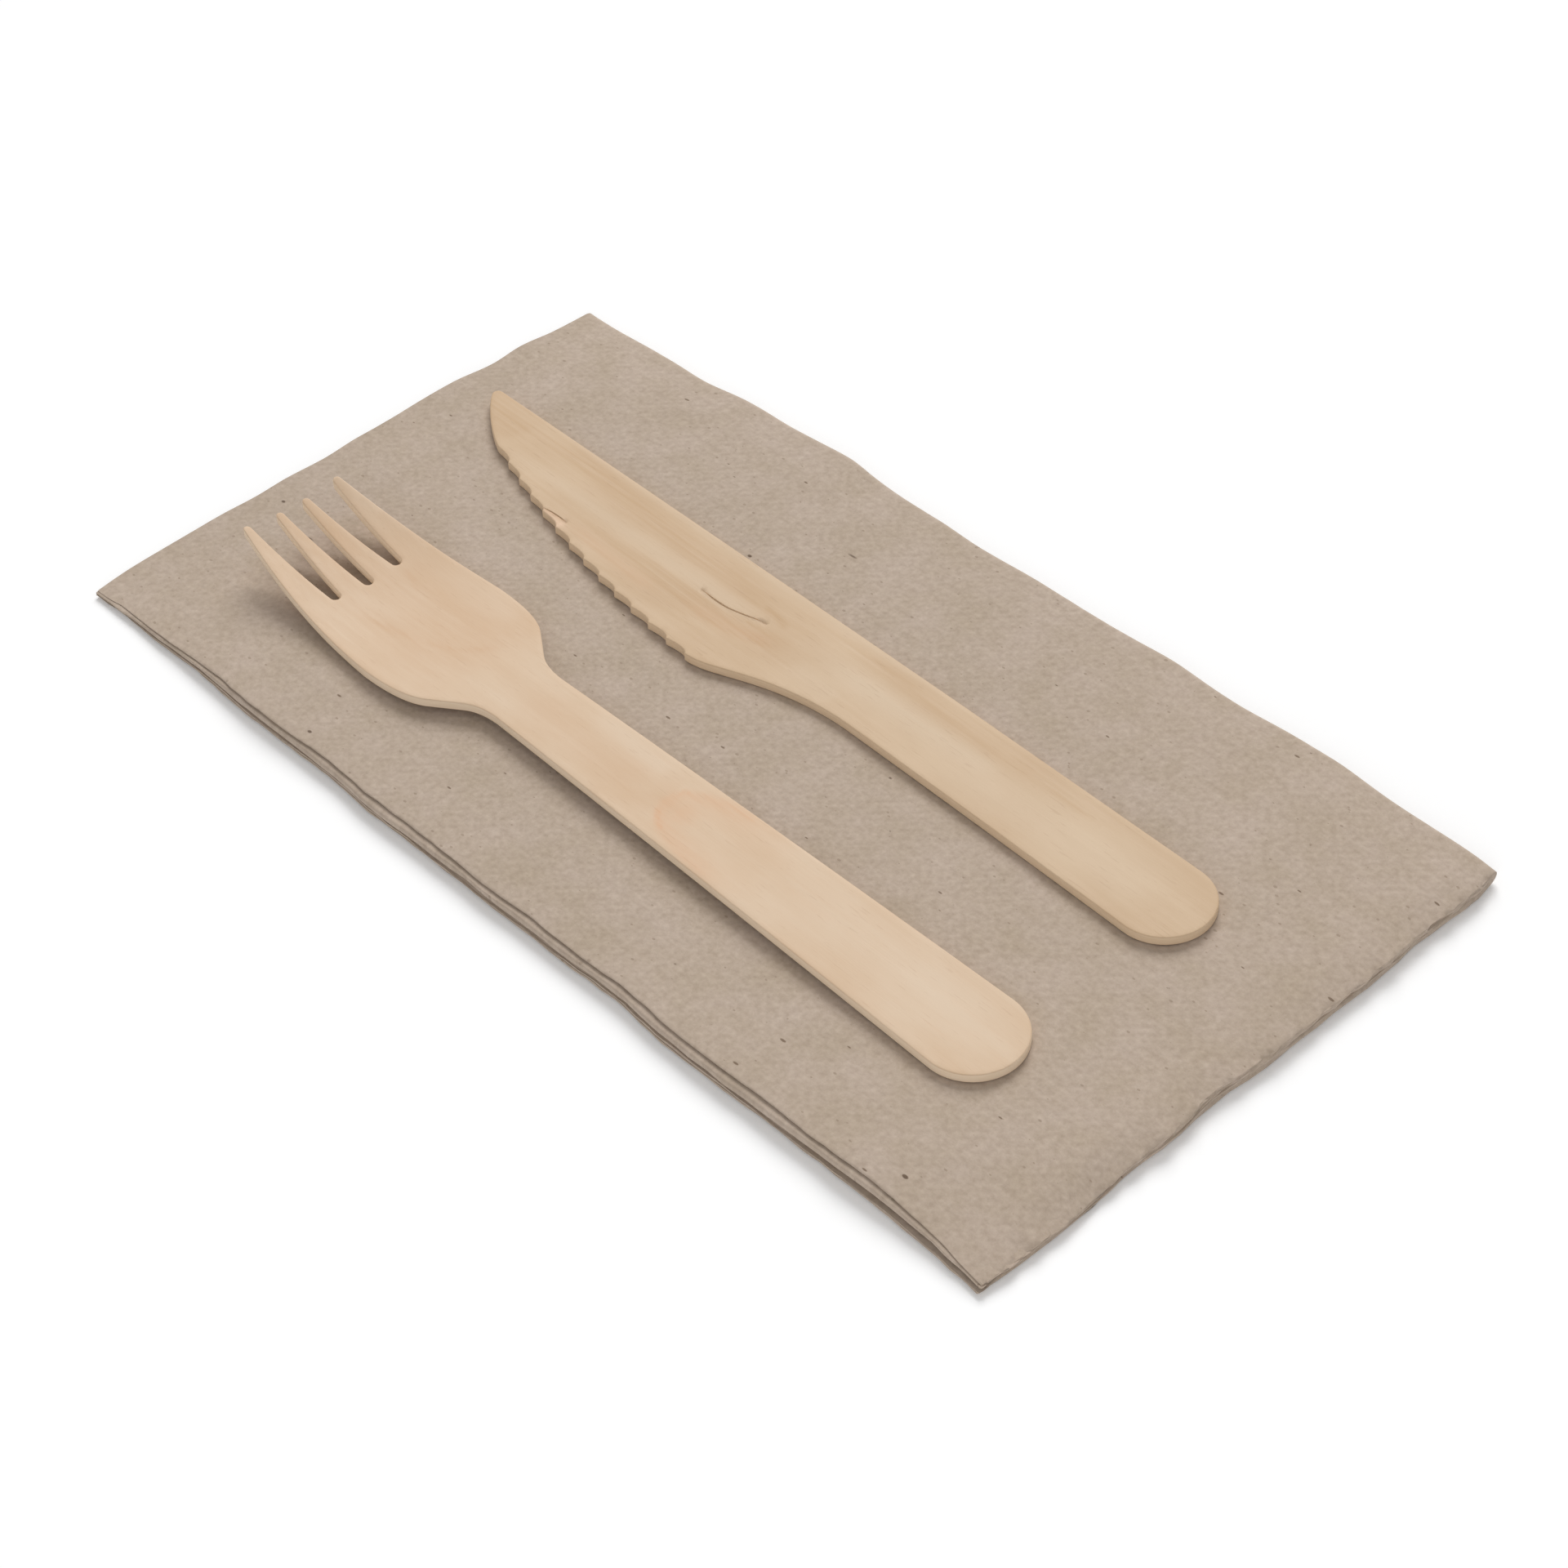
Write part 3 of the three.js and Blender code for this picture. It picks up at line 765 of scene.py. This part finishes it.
# long brown bands run by the knife's spine and teeth and its handle's spine, and pale ones along its spine,
# middle and handle
knifeSpec["marks"] = [
    ("brown", [(-20, 6), (10, 2), (40, -2), (92, -6)], 14, 14, 0.2),
    ("brown", [(-8, 6), (4, 4), (14, 1)], 6, 6, 0.42),
    ("brown", [(6, 4.4), (20, 4.2), (35, 3.5), (50, 3.0), (62, 2.6), (71, 1.6), (78, 0.3)], 2.4, 2.6, 0.52),
    ("brown", [(28, 2.2), (45, 1.6), (60, 1.5), (70, 0.9), (77, 0.1)], 0.9, 0.6, 0.55),
    ("brown", [(71, 1.4), (75, 1.2), (79, 0.2)], 0.9, 0.9, 0.6),
    ("brown", [
        (30, -6), (42, -5.4), (55, -5.2), (66, -5.6), (74, -4.4), (80, -2.6), (85, -0.8),
    ], 2.2, 2.6, 0.46),
    ("brown", [(40, -4.5), (55, -4.1), (66, -4.3), (73, -3.2), (79, -1)], 0.4, 0.8, 0.56),
    ("brown", [(44, -6.6), (58, -6.3), (68, -6.8), (76, -5.6), (83, -2.6)], 0.4, 0.9, 0.5),
    ("brown", [(46, -8.4), (58, -8.1), (68, -8.4)], 0.4, 0.8, 0.38),
    ("amber", [(34, -6.6), (44, -7.6), (58, -8)], 1.2, 1.6, 0.3),
    ("amber", [(62, -6.2), (72, -5.6), (80, -3.4)], 1.4, 1.6, 0.25),
    ("pale", [(16, -2.4), (30, -2.0), (45, -2.0), (58, -2.0), (68, -1.7), (75, -0.7)], 1.5, 1.5, 0.6),
    ("pale", [(6, 6.6), (30, 6.5), (70, 6.6), (110, 7)], 1.0, 0.9, 0.4),
    ("brown", [(83, 5), (95, 4.6), (108, 4.2), (120, 3.8), (132, 3.6)], 2.4, 1.5, 0.36),
    ("brown", [(108, 3.5), (116, 3.9), (128, 3.6), (141, 4.1)], 0.4, 0.5, 0.4),
    ("pale", [(84, 0), (96, 0.2), (110, 0.4), (126, 0.6)], 1.9, 3.2, 0.65),
    ("pale", [(84, -3), (88, -4.6), (96, -5)], 2.2, 2.6, 0.4),
    ("pale", [(110, -3), (130, -2), (158, -1)], 5, 4.5, 0.4),
    ("fresh", [(29.6, -8.2), (31.4, -8.4), (33, -8.5), (36, -8.4)], 0.7, 1.2, 0.9),
    ("amber", [(29.4, -7.9), (31.5, -7.6), (35.6, -7.5)], 0.15, 0.4, 0.7),
]
# Where the grain has parted: a hairline crack by the blade's middle, and a splinter lifted at
# the teeth. Each is a line of s and v, its half width and its depth.
knifeSpec["clefts"] = [
    ([
        (62.6, -2.75), (65.9, -2.95), (68.5, -2.8), (70.4, -2.4), (72.2, -1.9), (73.6, -1.45), (75.4, -1),
    ], 0.16, 0.34),
    ([(29.6, -7.75), (31, -7.5), (33, -7.35), (35.2, -7.4)], 0.13, 0.22),
]


# The knife doesn't rise, and nothing is carved out of the fork.
def nothing(s, v):
    return 0 * s


def makeFork(material):
    blank = stampBlank(forkSpec, forkOutline())
    fork = layVeneer("fork", forkSpec, blank, forkRise, nothing, material)
    addMarks(fork.data, forkSpec, forkSpec["marks"])


# The middle line of a cleft in short steps, and its two lips, which nearly meet at its ends.
def cleftLines(line, half):
    s = np.linspace(line[0][0], line[-1][0], int((line[-1][0] - line[0][0]) / veneer["cleftStep"]))
    v = curveThrough(line, s)
    wave = np.sin(np.linspace(0, math.pi, len(s)))
    opening = half * np.clip(wave * veneer["cleftTaper"], veneer["cleftLeast"], 1)
    return [np.column_stack([s, v + side * opening]) for side in (0, 1, -1)]


def makeKnife(material):
    clefts = [(cleftLines(line, half), half, depth) for line, half, depth in knifeSpec["clefts"]]

    # each cleft is a groove with sloping sides, deepest on its middle line
    def carve(s, v):
        total = np.zeros(len(s))
        for lines, half, depth in clefts:
            away = np.abs(fromLine(lines[0], s, v)[0])
            total = np.maximum(total, depth * np.clip(1 - away / (veneer["cleftFloor"] * half), 0, 1))
        return total

    drawn = [line for lines, _, _ in clefts for line in lines]
    blank = stampBlank(knifeSpec, knifeOutline(), drawn)
    knife = layVeneer("knife", knifeSpec, blank, nothing, carve, material)
    reach = veneer["cleftDark"]
    dark = [("cleft", lines[0], reach * half, reach * half, 1.0) for lines, half, _ in clefts]
    addMarks(knife.data, knifeSpec, knifeSpec["marks"] + dark)


# The materials

tissueLook = {
    # lumps to the mm: clouds of pulp 8 mm wide, pulp 1 mm wide, and fibres 2.4 mm apart
    "noises": {
        "cloud": {"Scale": 0.12, "Detail": 4.0, "Roughness": 0.6},
        "pulp": {"Scale": 0.9, "Detail": 4.0, "Roughness": 0.65},
        "strand": {"Scale": 0.42, "Detail": 1.5, "Distortion": 0.8},
    },
    "tones": {"pulp": ("#b1a090", "#c5b5a5"), "cloud": ("#f2efe8", "#fffdfd")},
    "fibreTone": "#d8ccbc",
    # bark specks: turn, stretch, pitch in mm, greatest radius as a share of it, strength and tone
    "specks": [
        (0.6, 1.6, 1.1, 0.2, 0.5, "#8a7663"),
        (1.9, 2.6, 2.2, 0.11, 0.8, "#6d5844"),
        (-0.7, 4.6, 6.4, 0.055, 0.85, "#5c4838"),
        (0.2, 1.5, 5.0, 0.075, 0.9, "#5f4b3a"),
    ],
    "dimpleTurns": (0.9, -0.75),
}


# Kraft tissue: unbleached two-ply paper, creped and embossed. To the eye it is a matte warm
# grey with soft clouds of pulp, brown bark specks, a few pale fibres and a pebbled surface.
def kraftTissue():
    look = tissueLook
    material, tree = newMaterial("kraftTissue")
    uv = addNode(tree, "ShaderNodeUVMap", {"uv_map": "flatSheet"})
    scale = [napkinSpec["uvSide"]] * 3  # what follows is in mm on the flat sheet
    sheet = addNode(tree, "ShaderNodeMapping", {"Scale": scale}, {"Vector": uv})
    noise = {}
    for name, settings in look["noises"].items():
        noise[name] = addNode(tree, "ShaderNodeTexNoise", settings, {"Vector": sheet})
    tone = {}
    for name, codes in look["tones"].items():
        ramp = addNode(tree, "ShaderNodeValToRGB", links={0: noise[name]})
        for end, place, code in zip(ramp.node.color_ramp.elements, (0.3, 0.7), codes):
            end.position = place
            end.color = fromHex(code)
        tone[name] = ramp
    clouded = {"data_type": "RGBA", "blend_type": "MULTIPLY", 0: 1.0}
    colour = addNode(tree, "ShaderNodeMix", clouded, {6: tone["pulp"], 7: tone["cloud"]}, out=2)

    # pale fibres, 0.15 mm wide, are the thin level lines of a slow noise
    off = addNode(tree, "ShaderNodeMath", {"operation": "SUBTRACT", 1: 0.5}, {0: noise["strand"]})
    width = addNode(tree, "ShaderNodeMath", {"operation": "ABSOLUTE"}, {0: off})
    thin = {"From Max": 0.012, "To Min": 0.16, "To Max": 0.0}
    line = addNode(tree, "ShaderNodeMapRange", thin, {"Value": width})
    broken = addNode(tree, "ShaderNodeMath", {"operation": "MULTIPLY"}, {0: line, 1: noise["cloud"]})
    fibres = {"data_type": "RGBA", 7: fromHex(look["fibreTone"])}
    colour = addNode(tree, "ShaderNodeMix", fibres, {0: broken, 6: colour}, out=2)

    # bark specks: one in each cell of a scattered grid, most of them tiny, each kind stretched
    for turn, stretch, pitch, size, strength, code in look["specks"]:
        turned = {"Rotation": (0, 0, turn), "Scale": (1 / stretch, 1, 1)}
        spot = addNode(tree, "ShaderNodeMapping", turned, {"Vector": sheet})
        cell = addNode(tree, "ShaderNodeTexVoronoi", {"Scale": 1 / pitch}, {"Vector": spot}).node.outputs
        chance = addNode(tree, "ShaderNodeSeparateColor", links={0: cell["Color"]})
        rare = addNode(tree, "ShaderNodeMath", {"operation": "POWER", 1: 2.6}, {0: chance})
        radius = addNode(tree, "ShaderNodeMath", {"operation": "MULTIPLY", 1: size}, {0: rare})
        depth = {0: radius, 1: cell["Distance"]}
        inside = addNode(tree, "ShaderNodeMath", {"operation": "SUBTRACT"}, depth)
        soft = {"From Max": 0.025, "To Max": strength}
        mask = addNode(tree, "ShaderNodeMapRange", soft, {"Value": inside})
        bark = {"data_type": "RGBA", 7: fromHex(code)}
        colour = addNode(tree, "ShaderNodeMix", bark, {0: mask, 6: colour}, out=2)

    # emboss: rows of dimples 1.3 mm apart, set diagonally, with the crepe's fine wrinkles over them
    dimples = []
    for heading in look["dimpleTurns"]:
        rows = addNode(tree, "ShaderNodeMapping", {"Rotation": (0, 0, heading)}, {"Vector": sheet})
        uneven = {"Scale": 0.26, "Distortion": 1.2, "Detail": 1.0, "Detail Scale": 0.6}
        dimples.append(addNode(tree, "ShaderNodeTexWave", uneven, {"Vector": rows}, out="Fac"))
    dimple = addNode(tree, "ShaderNodeMath", {"operation": "MULTIPLY"}, dict(enumerate(dimples)))
    both = {0: dimple, 2: noise["pulp"]}
    relief = addNode(tree, "ShaderNodeMath", {"operation": "MULTIPLY_ADD", 1: 0.8}, both)
    bump = addNode(tree, "ShaderNodeBump", {"Strength": 0.4, "Distance": 0.1 * mm}, {"Height": relief})

    matte = {"Roughness": 0.93, "IOR": 1.45, "Specular IOR Level": 0.3}
    fuzz = {"Sheen Weight": 0.12, "Sheen Roughness": 0.6}
    looks = {"Base Color": colour, "Normal": bump}
    paper = addNode(tree, "ShaderNodeBsdfPrincipled", {**matte, **fuzz}, looks)
    addNode(tree, "ShaderNodeOutputMaterial", links={0: paper})
    return material


# Noises of the grain: lumps to the mm along, across and through the veneer, and their settings.
grainNoises = {
    "band": ((0.012, 0.34, 0.3), {"Detail": 3.0, "Roughness": 0.55}),  # 3 mm wide
    "fibre": ((0.045, 1.5, 1.5), {"Detail": 4.0, "Roughness": 0.6, "Distortion": 0.3}),  # 0.7 mm
    "fine": ((0.16, 4.2, 4.2), {"Detail": 3.0, "Roughness": 0.7}),  # 0.24 mm
    "patch": ((0.06, 0.13, 0.1), {"Detail": 3.0, "Roughness": 0.5}),  # 8 mm
    "pore": ((0.3, 3.6, 3.6), {"Detail": 1.0}),  # real pores are 0.1 mm wide, here 0.25 so they show
    "ply": ((0.25, 0.25, 5.0), {"Detail": 3.0}),  # lines of the cut edge, 0.2 mm apart
}


# Bare birch veneer, peeled from the log, dried and stamped, with no lacquer. To the eye it is
# cream, silky and matte, with faint long fibres, broad growth marks and long bands of tone. Its
# cut edges are painted paler than its faces, as painted light on them.
def birchVeneer(name, spec, tones):
    material, tree = newMaterial(name)
    where = addNode(tree, "ShaderNodeTexCoord", out="Object")
    laid = {
        "vector_type": "TEXTURE",
        "Location": [p * mm for p in spec["place"]],
        "Rotation": (0, 0, math.radians(spec["turn"])),
        "Scale": (mm, mm, mm),
    }  # what follows is in mm along and across the piece
    own = addNode(tree, "ShaderNodeMapping", laid, {"Vector": where})
    grain = {}
    for kind, (lumps, settings) in grainNoises.items():
        spread = addNode(tree, "ShaderNodeMapping", {"Scale": lumps}, {"Vector": own})
        settings = {"Scale": 1.0, **settings}
        grain[kind] = addNode(tree, "ShaderNodeTexNoise", settings, {"Vector": spread})

    total = grain["patch"]
    for kind, share in (("band", 0.45), ("fibre", 0.4), ("fine", 0.25)):
        scaled = {"operation": "MULTIPLY_ADD", 1: share}
        total = addNode(tree, "ShaderNodeMath", scaled, {0: grain[kind], 2: total})
    light = addNode(tree, "ShaderNodeMapRange", {"From Min": 0.75, "From Max": 1.35}, {"Value": total})
    plain = {"data_type": "RGBA", 6: fromHex(tones["dark"]), 7: fromHex(tones["light"])}
    colour = addNode(tree, "ShaderNodeMix", plain, {0: light}, out=2)

    # the marks of tone, broken up along the fibres, and then the pores
    broken = {"From Min": 0.3, "From Max": 0.7, "To Min": 0.55, "To Max": 1.2}
    ragged = addNode(tree, "ShaderNodeMapRange", broken, {"Value": grain["fibre"]})
    layers = []
    for tint in veneer["tints"]:
        mark = addNode(tree, "ShaderNodeAttribute", {"attribute_name": tint}, out="Fac")
        kept = {"operation": "MULTIPLY", "use_clamp": True}
        layers.append((tint, addNode(tree, "ShaderNodeMath", kept, {0: mark, 1: ragged})))
    pits = {"From Min": 0.66, "From Max": 0.74, "To Max": 0.2}
    layers.append(("pore", addNode(tree, "ShaderNodeMapRange", pits, {"Value": grain["pore"]})))
    for tint, amount in layers:
        over = {"data_type": "RGBA", 7: fromHex(tones[tint])}
        colour = addNode(tree, "ShaderNodeMix", over, {0: amount, 6: colour}, out=2)

    # the cut edge has lines along the plies, in tones painted paler than the faces: painted light on every
    # steep face
    facing = addNode(tree, "ShaderNodeNewGeometry", out="Normal")
    rising = addNode(tree, "ShaderNodeSeparateXYZ", links={0: facing}, out=2)
    upright = addNode(tree, "ShaderNodeMath", {"operation": "ABSOLUTE"}, {0: rising})
    steep = {"From Min": 0.75, "From Max": 0.25}
    cut = addNode(tree, "ShaderNodeMapRange", steep, {"Value": upright})
    paintedLitPlies = {"data_type": "RGBA", 6: fromHex(tones["paintedLitEdgeDark"]), 7: fromHex(tones["paintedLitEdgePale"])}
    edge = addNode(tree, "ShaderNodeMix", paintedLitPlies, {0: grain["ply"]}, out=2)
    colour = addNode(tree, "ShaderNodeMix", {"data_type": "RGBA"}, {0: cut, 6: colour, 7: edge}, out=2)

    silky = {"From Min": 0.3, "From Max": 0.7, "To Min": 0.56, "To Max": 0.7}
    rough = addNode(tree, "ShaderNodeMapRange", silky, {"Value": grain["fibre"]})
    both = {0: grain["fine"], 2: grain["fibre"]}
    relief = addNode(tree, "ShaderNodeMath", {"operation": "MULTIPLY_ADD", 1: 0.6}, both)
    bump = addNode(tree, "ShaderNodeBump", {"Strength": 0.3, "Distance": 0.05 * mm}, {"Height": relief})
    bare = {"IOR": 1.5, "Specular IOR Level": 0.35}
    looks = {"Base Color": colour, "Roughness": rough, "Normal": bump}
    wood = addNode(tree, "ShaderNodeBsdfPrincipled", bare, looks)
    addNode(tree, "ShaderNodeOutputMaterial", links={0: wood})
    return material


forkTones = {
    "dark": "#d0b190",
    "light": "#dbc3a8",
    "pale": "#dfc9b0",
    "brown": "#cca682",
    "amber": "#d7a379",
    "fresh": "#e6c9ac",
    "cleft": "#8a6548",
    "pore": "#b49070",
    # the cut edge: ply lines in tones painted paler than the faces, as painted light on the edge
    "paintedLitEdgeDark": "#e4cbad",
    "paintedLitEdgePale": "#f2e0c9",
}
knifeTones = {
    "dark": "#c4a684",
    "light": "#d2b899",
    "pale": "#d6c0a5",
    "brown": "#bb9870",
    "amber": "#cca07a",
    "fresh": "#e6c5a8",
    "cleft": "#6b4a33",
    "pore": "#a58365",
    # the cut edge: ply lines in tones painted paler than the faces, as painted light on the edge
    "paintedLitEdgeDark": "#d2b797",
    "paintedLitEdgePale": "#e6cfb2",
}


# The floor and the light

studio = {
    "world": 0.4,  # share of the plain level that comes from all round
    # direction, distance and size in metres, and share of the plain level
    "key": ((-0.6, 0.8, 0.85), 3.0, 1.7, 0.53),  # behind and high, so that shadows fall forward
    "fill": ((0.6, -0.75, 0.4), 0.75, 0.45, 0.09),
    # the floor, in metres: past floorNear it turns to plain white, and is all white at floorFar
    "floorHalf": 3,
    "floorDrop": 2e-5,
    "floorNear": 0.14,
    "floorFar": 0.3,
    "floorWhite": 0.97,
    "floorGlow": 0.085,  # light of its own that the camera sees
}


# 1 for what the camera sees straight, in a mirror or through glass, and 0 for light on things.
def seenDirectly(tree):
    rays = addNode(tree, "ShaderNodeLightPath").node.outputs
    straight = {0: rays["Is Camera Ray"], 1: rays["Is Glossy Ray"]}
    either = addNode(tree, "ShaderNodeMath", {"operation": "MAXIMUM"}, straight)
    through = {0: either, 1: rays["Is Transmission Ray"]}
    return addNode(tree, "ShaderNodeMath", {"operation": "MAXIMUM"}, through)


# A white table that takes the set's shadows. To the eye it is brighter than white paint, and well
# past the shadows it is plain white.
def whiteTable():
    material, tree = newMaterial("whiteTable")
    seen = seenDirectly(tree)
    glow = addNode(tree, "ShaderNodeMath", {"operation": "MULTIPLY", 1: studio["floorGlow"]}, {0: seen})
    white = addNode(tree, "ShaderNodeBsdfDiffuse", {"Color": (*[studio["floorWhite"]] * 3, 1)})
    light = addNode(tree, "ShaderNodeEmission", links={"Strength": glow})
    lit = addNode(tree, "ShaderNodeAddShader", links={0: white, 1: light})

    where = addNode(tree, "ShaderNodeTexCoord", out="Object")
    away = addNode(tree, "ShaderNodeVectorMath", {"operation": "LENGTH"}, {0: where}, out="Value")
    turning = {"From Min": studio["floorNear"], "From Max": studio["floorFar"]}
    beyond = addNode(tree, "ShaderNodeMapRange", turning, {"Value": away})
    share = addNode(tree, "ShaderNodeMath", {"operation": "MULTIPLY"}, {0: beyond, 1: seen})
    plain = addNode(tree, "ShaderNodeEmission")
    both = {0: share, 1: lit, 2: plain}
    shown = addNode(tree, "ShaderNodeMixShader", links=both)
    addNode(tree, "ShaderNodeOutputMaterial", links={0: shown})
    return material


# A floor, a white world, and two square lamps that point at the set. A lamp's power is what gives
# a level floor its share of the plain level, so it grows with the square of its distance.
def makeStudio():
    scene = bpy.context.scene
    scene.view_settings.view_transform = "Standard"

    half, drop = studio["floorHalf"], studio["floorDrop"]
    corners = [(x * half, y * half, -drop) for x, y in ((-1, -1), (1, -1), (1, 1), (-1, 1))]
    mesh = bpy.data.meshes.new("floor")
    mesh.from_pydata(corners, [], [(0, 1, 2, 3)])
    mesh.materials.append(whiteTable())
    floor = bpy.data.objects.new("floor", mesh)
    scene.collection.objects.link(floor)
    floor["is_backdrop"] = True

    world = bpy.data.worlds.new("studio")
    world.use_nodes = True
    tree = world.node_tree
    tree.nodes.clear()
    seen = {"Value": seenDirectly(tree)}
    strength = addNode(tree, "ShaderNodeMapRange", {"To Min": studio["world"]}, seen)
    sky = addNode(tree, "ShaderNodeBackground", {"Color": (1, 1, 1, 1)}, {"Strength": strength})
    addNode(tree, "ShaderNodeOutputWorld", links={0: sky})
    scene.world = world

    for name in ("key", "fill"):
        source, distance, size, share = studio[name]
        light = bpy.data.lights.new(name, "AREA")
        light.size = size
        toward = Vector(source).normalized()
        light.energy = share * math.pi**2 * distance**2 / toward.z
        lamp = bpy.data.objects.new(name, light)
        lamp.location = toward * distance
        lamp.rotation_euler = toward.to_track_quat("Z", "Y").to_euler()
        scene.collection.objects.link(lamp)


placeCamera()
makeStudio()
print("camera, floor and light are in place")
makeNapkin(kraftTissue())
print("napkin is folded")
makeFork(birchVeneer("birchVeneerFork", forkSpec, forkTones))
print("fork is stamped and pressed")
makeKnife(birchVeneer("birchVeneerKnife", knifeSpec, knifeTones))
print("knife is stamped")

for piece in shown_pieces():
    mesh = piece.data
    mesh.calc_loop_triangles()
    print(piece.name, "triangles", len(mesh.loop_triangles))
